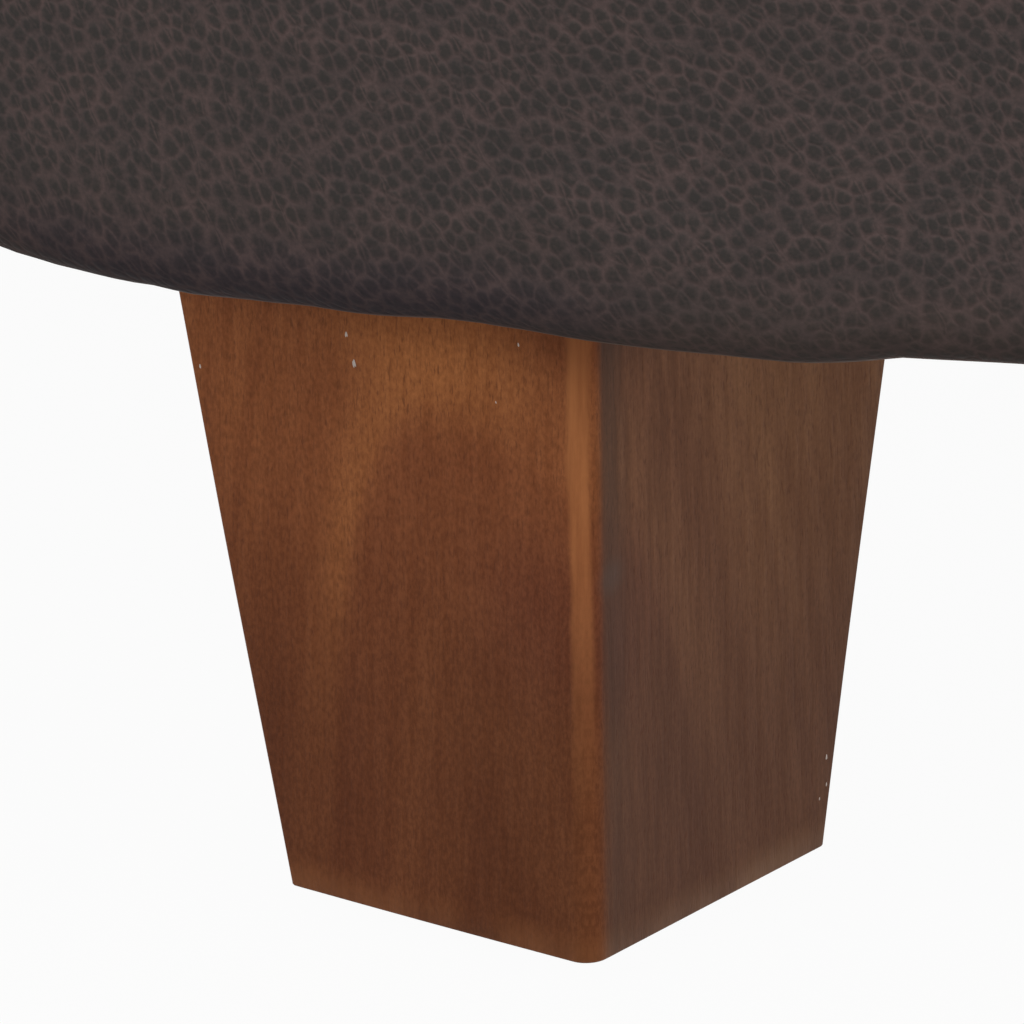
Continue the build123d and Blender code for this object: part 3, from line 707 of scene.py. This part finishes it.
def leg_wood(name, heart, seed):
    """Stained wood of one leg, its pith and seed its own, so no two legs have the same figure."""
    made, tree, shader = new_material(name)
    spot = node(tree, "TexCoord").outputs["Object"]
    figure = place_group(tree, grain, Place=spot, Heart=heart, Seed=seed)

    def toned(share, colour, high=1.0):
        """Lays a colour over the tone so far, by a mask, as strongly as given."""
        return blend_colours(ramp(share, 0, 1, 0, high, "LINEAR"), tone, colour)

    def shaded(share, second, first=WHITE):
        """Multiplies the tone so far by a colour that a mask picks between two."""
        return scaled_by(tone, share, first, second)

    def spread(middle, low, high):
        """A soft round spot about a point."""
        return ramp(vectors("DISTANCE", spot, middle), low, high, 1, 0)

    at = split(spot)
    level = at["Z"]
    half = maths("MULTIPLY_ADD", level, SLOPE, FOOT_HALF - SLOPE * LEG_FOOT)
    past = maths("MULTIPLY_ADD", half, -2.0, maths("ADD", at["X"], at["Y"]))
    across = maths("SUBTRACT", at["Y"], at["X"])
    right_side = ramp(across, 0.002, 0.006)

    # The figure of the wood, and broad light and dark over it: darker towards the bottom, with painted shade
    # and a painted sheen among it
    tone = blend_colours(figure["Ring"], (0.232, 0.074, 0.0265), (0.262, 0.0865, 0.031))
    tone = toned(figure["Inside"], (0.172, 0.049, 0.0205), high=0.3)
    tone = toned(figure["Band"], (0.345, 0.122, 0.04), high=0.54)
    tone = toned(spread((0.037, 0.01, 0.106), 0.004, 0.027), (0.43, 0.152, 0.048), high=0.68)
    # Painted shade: a dark patch low on the left face beside the rounded edge
    tone = toned(spread((0.033, 0.027, 0.058), 0.004, 0.024), (0.15, 0.04, 0.0215), high=0.45)
    tone = shaded(ramp(level, 0.02, 0.118), (1.24, 1.26, 1.27), (0.64, 0.64, 0.69))
    far_low = times(ramp(across, -0.062, -0.036, 1, 0), ramp(level, 0.03, 0.09, 1, 0))
    tone = shaded(far_low, (0.78, 0.74, 0.76))
    # Painted shade low on the left face, up to the rounded edge
    painted_shade_low = times(ramp(across, -0.044, -0.012), ramp(level, 0.04, 0.09, 1, 0),
                     ramp(across, -0.002, 0.002, 1, 0))
    tone = shaded(painted_shade_low, (0.84, 0.85, 0.87))
    # Painted sheen: the right face's colour is greyed and cooled, standing in for the reflection in its
    # lacquer
    tone = shaded(right_side, (0.82, 1.04, 1.4))
    olive = times(ramp(across, 0.02, 0.045), ramp(level, 0.02, 0.07))
    tone = shaded(olive, (1.15, 1.2, 1.12))

    # Fine texture, fainter on the right side, and the flecks of the pores
    fainter = ramp(across, 0, 0.006, 1, 0.55)
    coarse = maths("MULTIPLY_ADD", maths("ADD", figure["Grit"], -0.5), fainter, 0.5)
    tone = shaded(coarse, (1.19, 1.2, 1.21), (0.81, 0.79, 0.78))
    tone = shaded(figure["Cloud"], (1.08, 1.1, 1.1), (0.92, 0.9, 0.9))
    tone = shaded(figure["Streak"], (1.07, 1.09, 1.1), (0.9, 0.88, 0.87))
    near_edge = times(right_side, ramp(across, 0.01, 0.04, 1, 0.3), maths("SUBTRACT", 1.0, figure["Streak"]))
    tone = toned(near_edge, (0.09, 0.046, 0.03), high=0.34)
    tone = toned(figure["Fleck"], (0.095, 0.03, 0.013), high=0.46)

    # The rounded edge: a painted highlight on the left of it, painted shade on the right
    wander = maths("MULTIPLY_ADD", figure["Cloud"], 0.0014, across)
    painted_edge_highlight = times(ramp(wander, -0.0034, -0.002), ramp(wander, 0.0008, 0.0026, 1, 0),
                   ramp(past, -0.009, -0.008), ramp(level, 0.02, 0.105, 0.04, 0.96))
    pale = blend_colours(figure["Streak"], (0.345, 0.123, 0.0445), (0.45, 0.17, 0.061))
    tone = toned(painted_edge_highlight, pale)
    # Painted shadow of the leather's hem across the top of the leg
    tone = shaded(ramp(level, 0.096, 0.104), (0.78, 0.75, 0.76))
    foot_rim = times(ramp(level, 0.0042, 0.0105, 1, 0), figure["Cloud"])
    rim_tone = blend_colours(right_side, (0.33, 0.125, 0.047), (0.31, 0.17, 0.095))
    tone = toned(foot_rim, rim_tone, high=0.5)
    # Painted shade on the right of the rounded edge, where it turns away from the light
    dark = times(ramp(across, 0.003, 0.0042), ramp(across, 0.005, 0.016, 0.6, 0),
                 ramp(past, -0.012, -0.005), ramp(level, 0.02, 0.09, 0.35, 1))
    tone = toned(dark, (0.07, 0.043, 0.032))
    tone = toned(spread((0.0284, 0.034, 0.066), 0.0005, 0.0042), (0.12, 0.085, 0.07), high=0.4)
    worn = ramp(node(tree, "NewGeometry").outputs["Pointiness"], 0.52, 0.6)
    tone = toned(worn, (0.38, 0.14, 0.05), high=0.3)

    shader.inputs["Specular IOR Level"].default_value = 0.06
    fibre = maths("MULTIPLY_ADD", figure["Fleck"], -0.8, figure["Streak"])
    surfaced(shader, tone, ramp(figure["Streak"], 0, 1, 0.46, 0.38), fibre, 0.2, 0.0001)
    return made


def leg_place(angle):
    """Where a leg's axis stands, at an angle in degrees."""
    return LEG_REACH * cos(radians(angle)), LEG_REACH * sin(radians(angle))


def leg_outline(half):
    """Outline of a leg at one height: three crisp corners and the well rounded outward one."""
    steps, side_cuts = 11, 14
    corners = []
    for quarter, edge in enumerate((0.0033, 0.0006, 0.0006, 0.0006)):
        for step in np.radians(np.linspace(0, 90, steps)):
            x, y = half - edge + edge * cos(step), half - edge + edge * sin(step)
            for _ in range(quarter):
                x, y = -y, x
            corners.append((x, y))
    points = []
    for k, (one, two) in enumerate(zip(corners, corners[1:] + corners[:1])):
        cuts = side_cuts if k % steps == steps - 1 else 1
        points += [(one[0] + (two[0] - one[0]) * c / cuts, one[1] + (two[1] - one[1]) * c / cuts)
                   for c in range(cuts)]
    return points


def leg(name, angle, heart, seed):
    """A sawn and sanded block, its sides a hair out of flat and the rim of its foot eased."""
    phase = np.random.default_rng(seed).uniform(0, 6.283, 4)
    levels = [(LEG_FOOT, -0.00025), (LEG_FOOT + 0.0001, -0.0001), (LEG_FOOT + 0.0003, 0.0)]
    levels += [(z, 0.0) for z in np.linspace(LEG_FOOT + 0.004, LEG_TOP - 0.0012, 34)]
    levels += [(LEG_TOP - 0.0003, -0.0001), (LEG_TOP, -0.0006)]
    rings = []
    for z, inset in levels:
        half = FOOT_HALF + SLOPE * (z - LEG_FOOT)
        shrink = (half + inset) / half
        ring = []
        for x, y in leg_outline(half):
            hollow = 1 + sin(55 * z + phase[0] + 30 * x) * sin(70 * y + phase[1])
            flat = 1 - 0.00012 / half * hollow
            ring.append((x * shrink * flat, y * shrink * flat, z))
        rings.append(ring)
    block = tubes(name, [rings])
    for face in block.data.polygons:
        if len(face.vertices) > 4:
            face.use_smooth = False
    place = (*leg_place(angle), 0)
    block.matrix_world = Matrix.Translation(place) @ Matrix.Rotation(radians(angle - LEG_TURN), 4, "Z")
    block.data.materials.append(leg_wood(name + "_wood", heart, seed * 1.7))
    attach(block, "root")
    return block


leg_hearts = {"front_left": (225, (0.0265, 0.0103, 0.034)), "front_right": (315, (0.042, -0.03, 0.03)),
              "rear_left": (135, (-0.038, 0.031, 0.06)), "rear_right": (45, (0.018, -0.042, 0.02))}
for seed, (corner, (angle, heart)) in enumerate(leg_hearts.items()):
    block = leg("turned_leg_" + corner, angle, heart, seed)
    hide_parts("leg_" + corner)

# Pale specks of dust caught in the lacquer of the front left leg: most high on its left face (0), and
# a few low on its right face (1).
work = bmesh.new()
for side, across, level, size in (
        (0, -0.0059, 0.0975, 0.00054), (0, -0.005, 0.0931, 0.0006), (0, -0.0053, 0.0947, 0.00032),
        (0, -0.0056, 0.0921, 0.00026), (0, -0.0342, 0.086, 0.00028), (0, 0.0257, 0.1025, 0.00024),
        (0, 0.0205, 0.0924, 0.00024), (1, -0.0269, 0.0185, 0.0003), (1, -0.0273, 0.014, 0.00024),
        (1, -0.0258, 0.0122, 0.0002)):
    face = FOOT_HALF + SLOPE * (level - LEG_FOOT)
    made = bmesh.ops.create_icosphere(work, subdivisions=3, radius=size)
    for vert in made["verts"]:
        x, y, z = vert.co
        bump = 1 + 0.25 * sin(9000 * y + 5000 * z)
        deep, aside = face - 0.00018 + x * 0.35, across + y * 0.6 * bump
        vert.co = (aside if side else deep, deep if side else aside, level + z * 1.4 * bump)
mesh = bpy.data.meshes.new("lacquer_specks")
work.to_mesh(mesh)
work.free()
specks = finished("lacquer_specks", mesh)
specks.matrix_world = bpy.data.objects["turned_leg_front_left"].matrix_world.copy()
speck_white, tree, shader = new_material("speck_white")
dusty = soft_noise(tree, 4000)
feed(shader.inputs["Base Color"], blend_colours(dusty, (0.42, 0.33, 0.27), (0.8, 0.72, 0.66)))
mesh.materials.append(speck_white)
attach(specks, "root")

# The glides and their nails: moulded brown glides, each nailed through its middle up into the leg.
# These and the frame are the CAD's own pieces, given a finish.
glide_plastic, tree, shader = new_material("glide_plastic")
scuffs = soft_noise(tree, 420, 5, Roughness=0.65)
surfaced(shader, blend_colours(ramp(scuffs, 0.42, 0.66), (0.03, 0.024, 0.021), (0.085, 0.076, 0.07)),
         ramp(scuffs, 0.3, 0.7, 0.42, 0.7), scuffs, 0.3, 0.0002)


def dress(material, *names):
    """Gives CAD nodes their finish."""
    for name in names:
        nodes[name].data.materials.clear()
        nodes[name].data.materials.append(material)


def metal_finish(name, bright, dull, roughness):
    """Plated or plain steel, its plating a little uneven and its roughness streaky."""
    made, tree, shader = new_material(name)
    spot = node(tree, "TexCoord").outputs["Object"]
    stain = soft_noise(tree, 260, 4, Vector=spot)
    shader.inputs["Metallic"].default_value = 1.0
    surfaced(shader, blend_colours(ramp(stain, 0.35, 0.7), bright, dull),
             ramp(stain, 0.3, 0.7, roughness - 0.08, roughness + 0.1), stain, 0.15, 0.0001)
    return made


dress(glide_plastic, "glides")
for steel, bright, dull, roughness, dressed in (
        ("nail_steel", (0.46, 0.45, 0.43), (0.26, 0.22, 0.19), 0.38, ("glide_nails",)),
        ("zinc_steel", (0.62, 0.62, 0.6), (0.42, 0.42, 0.4), 0.34, ("hanger_bolts", "tee_nuts")),
        ("screw_steel", (0.56, 0.46, 0.24), (0.38, 0.3, 0.15), 0.36, ("deck_screws", "base_screws"))):
    dress(metal_finish(steel, bright, dull, roughness), *dressed)

# The frame inside the drum: plywood panels and ribs, planed pine posts and blocks, and hardboard
# bent round them.
sawn, entry, exit_ = socketed_group(
    "sawn_figure",
    [("Place", "Vector", None), ("Along", "Vector", (4.0, 90.0, 90.0))],
    [("Figure", "Float"), ("Fibre", "Float")],
)
drawn_out = vectors("MULTIPLY", entry.outputs["Place"], entry.outputs["Along"])
finer = vectors("MULTIPLY", drawn_out, (9.0, 9.0, 9.0))
figure = soft_noise(sawn, 1, 4, Vector=drawn_out, Distortion=0.6)
fibres = soft_noise(sawn, 1, 3, Vector=finer)
for label, noise in (("Figure", figure), ("Fibre", fibres)):
    feed(exit_.inputs[label], ramp(noise, 0.34, 0.66))


def sawn_finish(name, pale, dark, along, plies=0.0):
    """Bare wood, and for plywood the stripes of its plies along the cut edges."""
    made, tree, shader = new_material(name)
    spot = node(tree, "TexCoord").outputs["Object"]
    figure = place_group(tree, sawn, Place=spot, Along=along)
    tone = blend_colours(figure["Figure"], pale, dark)
    tone = scaled_by(tone, figure["Fibre"], (0.88, 0.86, 0.84), (1.08, 1.08, 1.06))
    if plies:
        layer = maths("SINE", maths("MULTIPLY", split(spot)["Z"], FULL_TURN / plies))
        facing = split(node(tree, "NewGeometry").outputs["Normal"])
        edge = ramp(maths("ABSOLUTE", facing["Z"]), 0.3, 0.6, 0.6, 0)
        striped = times(edge, ramp(layer, -0.2, 0.2))
        tone = blend_colours(striped, tone, (0.27, 0.17, 0.09))
    surfaced(shader, tone, ramp(figure["Fibre"], 0, 1, 0.62, 0.78), figure["Fibre"], 0.3, 0.0003)
    return made


dress(sawn_finish("plywood", (0.58, 0.43, 0.26), (0.44, 0.3, 0.17), (3.0, 60.0, 60.0), 0.003),
      "base_panel", "deck_panel", "cross_rib_lower", "cross_rib_upper")
dress(sawn_finish("pine", (0.66, 0.48, 0.28), (0.52, 0.34, 0.17), (110.0, 110.0, 5.0)),
      *[f"post_{k}" for k in range(1, 9)], *["leg_block_" + corner for corner in leg_hearts])
dress(sawn_finish("hardboard", (0.29, 0.18, 0.1), (0.21, 0.12, 0.065), (60.0, 60.0, 60.0)), "side_board")

# The padding: open-cell foam round the side and on the deck, and white fibre wadding that softens
# the top. It moves with the leather over it, so nothing shows through.
PAD_GAP = LEATHER + 0.0004
AXIS = 0.0001  # the innermost radius of a skin turned about the drum's axis


def padding_finish(name, pale, dark, scale):
    """Foam or wadding: a fine open structure, matt all over."""
    made, tree, shader = new_material(name)
    spot = node(tree, "TexCoord").outputs["Object"]
    open_cells = node(tree, "TexVoronoi", {"Vector": spot, "Scale": scale}).outputs["Distance"]
    cloudy = soft_noise(tree, 18, 3, Vector=spot)
    tone = blend_colours(open_cells, pale, dark)
    tone = scaled_by(tone, cloudy, (0.94, 0.93, 0.9), WHITE)
    surfaced(shader, tone, 0.92, open_cells, 0.6, 0.0008)
    return made


foam_cells = padding_finish("foam_cells", (0.8, 0.76, 0.62), (0.62, 0.56, 0.42), 900.0)
wadding = padding_finish("fibre_wadding", (0.9, 0.9, 0.88), (0.74, 0.74, 0.72), 500.0)


def foam_shape(a, r, z):
    """The foam's face moves with the leather over it, and its back stays flat on the board."""
    pushed, fallen = band_shape(a, r, z)
    return r + (pushed - r) * np.clip((r - 0.361) / 0.006, 0, 1), fallen


foam_nose = arc((HEM_CENTRE, HEM_LEVEL), 0.0074, 180, 360, 40)
foam_face = [(DRUM - PAD_GAP, z) for z in np.linspace(HEM_LEVEL + 0.004, BOW_LEVEL, 40)]
foam_face += [(bowed(z, PAD_GAP), z) for z in np.linspace(0.334, 0.4247, 20)]
foam_back = [(0.3586, z) for z in np.linspace(0.4247, HEM_LEVEL + 0.004, 50)]
foam_ring = turned("foam_ring", foam_nose + foam_face + foam_back, columns(AROUND, JOIN_ANGLES), foam_shape)
slab_top = [(x, min(float(crown(x)) - 0.0102, 0.4399)) for x in np.linspace(0.3575, AXIS, 60)]
slab_foot = [(x, 0.3903) for x in np.linspace(AXIS, 0.3575, 30)]
foam_slab = turned("foam_slab", slab_foot + slab_top, columns(AROUND), top_shape)
wad_reaches = np.concatenate([np.linspace(0.365, 0.345, 24), np.linspace(0.343, AXIS, 50)])
wad_face = [(x, float(crown(x)) - 0.0018) for x in wad_reaches]
wad_back = [(x, float(crown(x)) - 0.0098) for x in np.linspace(AXIS, 0.355, 50)]
wad_rim = [(0.359, 0.4291), (0.364, 0.4291)]
fibre_layer = turned("fibre_layer", wad_face + wad_back + wad_rim, columns(AROUND), top_shape)
for piece, finish, old, slot, fill in ((foam_ring, foam_cells, "side_foam", "foam", 0.9),
                                       (foam_slab, foam_cells, "top_foam", "foam", 0.9),
                                       (fibre_layer, wadding, "fibre_wrap", "fibre", 0.7)):
    piece.data.materials.append(finish)
    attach(piece, "root")
    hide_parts(old)

# The dust cover and its staples: black spun-bonded cloth, cut round, stretched under the base and
# stapled over the leather's edge.
CLOTH_REACH = 0.3479


def cloth_shape(a, r, z):
    """Small ripples between the staples, flat under the legs."""
    x, y = r * np.cos(a), r * np.sin(a)
    near_leg = np.zeros_like(r)
    for leg_x, leg_y in map(leg_place, (45, 135, 225, 315)):
        away = np.hypot(x - leg_x, y - leg_y)
        near_leg = np.maximum(near_leg, np.clip((0.085 - away) / 0.025, 0, 1))
    ripple = 0.00035 * (1 + np.sin(46 * a)) * np.exp(-((0.336 - r) / 0.02) ** 2)
    slack = 0.0006 * (1 + np.sin(14 * x + 3 * y + 1) * np.sin(11 * y - 5 * x))
    slack = slack * np.clip((0.31 - r) / 0.1, 0, 1)
    return r, z - (ripple + slack) * (1 - near_leg)


cloth_reaches = np.concatenate([(0.0002, 0.0005, 0.0015), np.linspace(0.004, 0.29, 60),
                                np.linspace(0.294, CLOTH_REACH, 24)])
cloth_under = [(x, 0.12505) for x in cloth_reaches]
cloth_over = [(x, z + 0.0006) for x, z in cloth_under[::-1]]
dust_cloth = turned("dust_cloth", cloth_under + cloth_over, columns(552), cloth_shape)
laid_flat(dust_cloth.data)
dust_black, tree, shader = new_material("dust_black")
weave = node(tree, "UVMap", uv_map="cut").outputs["UV"]
dots = node(tree, "TexVoronoi", {"Vector": weave, "Scale": 620, "Randomness": 0.12},
            voronoi_dimensions="2D").outputs["Distance"]
fuzz = soft_noise(tree, 900, 4, Vector=weave)
pressed = ramp(dots, 0.16, 0.3)
tone = blend_colours(pressed, (0.02, 0.02, 0.021), (0.01, 0.01, 0.011))
tone = blend_colours(ramp(fuzz, 0.45, 0.75, 0, 0.5), tone, (0.034, 0.034, 0.036))
surfaced(shader, tone, ramp(dots, 0.16, 0.3, 0.55, 0.85), pressed, 0.5, 0.0002)
dust_cloth.data.materials.append(dust_black)
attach(dust_cloth, "root")
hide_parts("dust_cover")


def staple(x, y, z, turn, width=0.01, wire=0.0007):
    """A wire staple driven flush, as rings of points: a rounded bar with its two bent shoulders."""
    rings = []
    for share, rise in ((-0.5, 0.0012), (-0.5, 0.0003), (-0.44, 0), (0.44, 0), (0.5, 0.0003), (0.5, 0.0012)):
        ring = []
        for k in range(8):
            way = k * pi / 4
            side, up = cos(way) * wire / 2, sin(way) * wire / 2
            along, height = share * width, -up * 0.7
            if rise:
                along, height = along + (up if share > 0 else -up), rise
            ring.append((x + along * cos(turn) - side * sin(turn),
                         y + along * sin(turn) + side * cos(turn), z + height))
        rings.append(ring)
    return rings


dice = np.random.default_rng(8)
strings = []
many = 92
for k in range(many):
    turn = FULL_TURN * (k + 0.5) / many + dice.uniform(-0.006, 0.006)
    reach = 0.3375 + dice.uniform(-0.0012, 0.0012)
    strings.append(staple(reach * cos(turn), reach * sin(turn), 0.12462,
                          turn + pi / 2 + dice.uniform(-0.25, 0.25)))
cloth_staples = tubes("cloth_staples", strings)
cloth_staples.data.materials.append(metal_finish("staple_wire", (0.52, 0.52, 0.5), (0.36, 0.34, 0.31), 0.32))
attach(cloth_staples, "root")
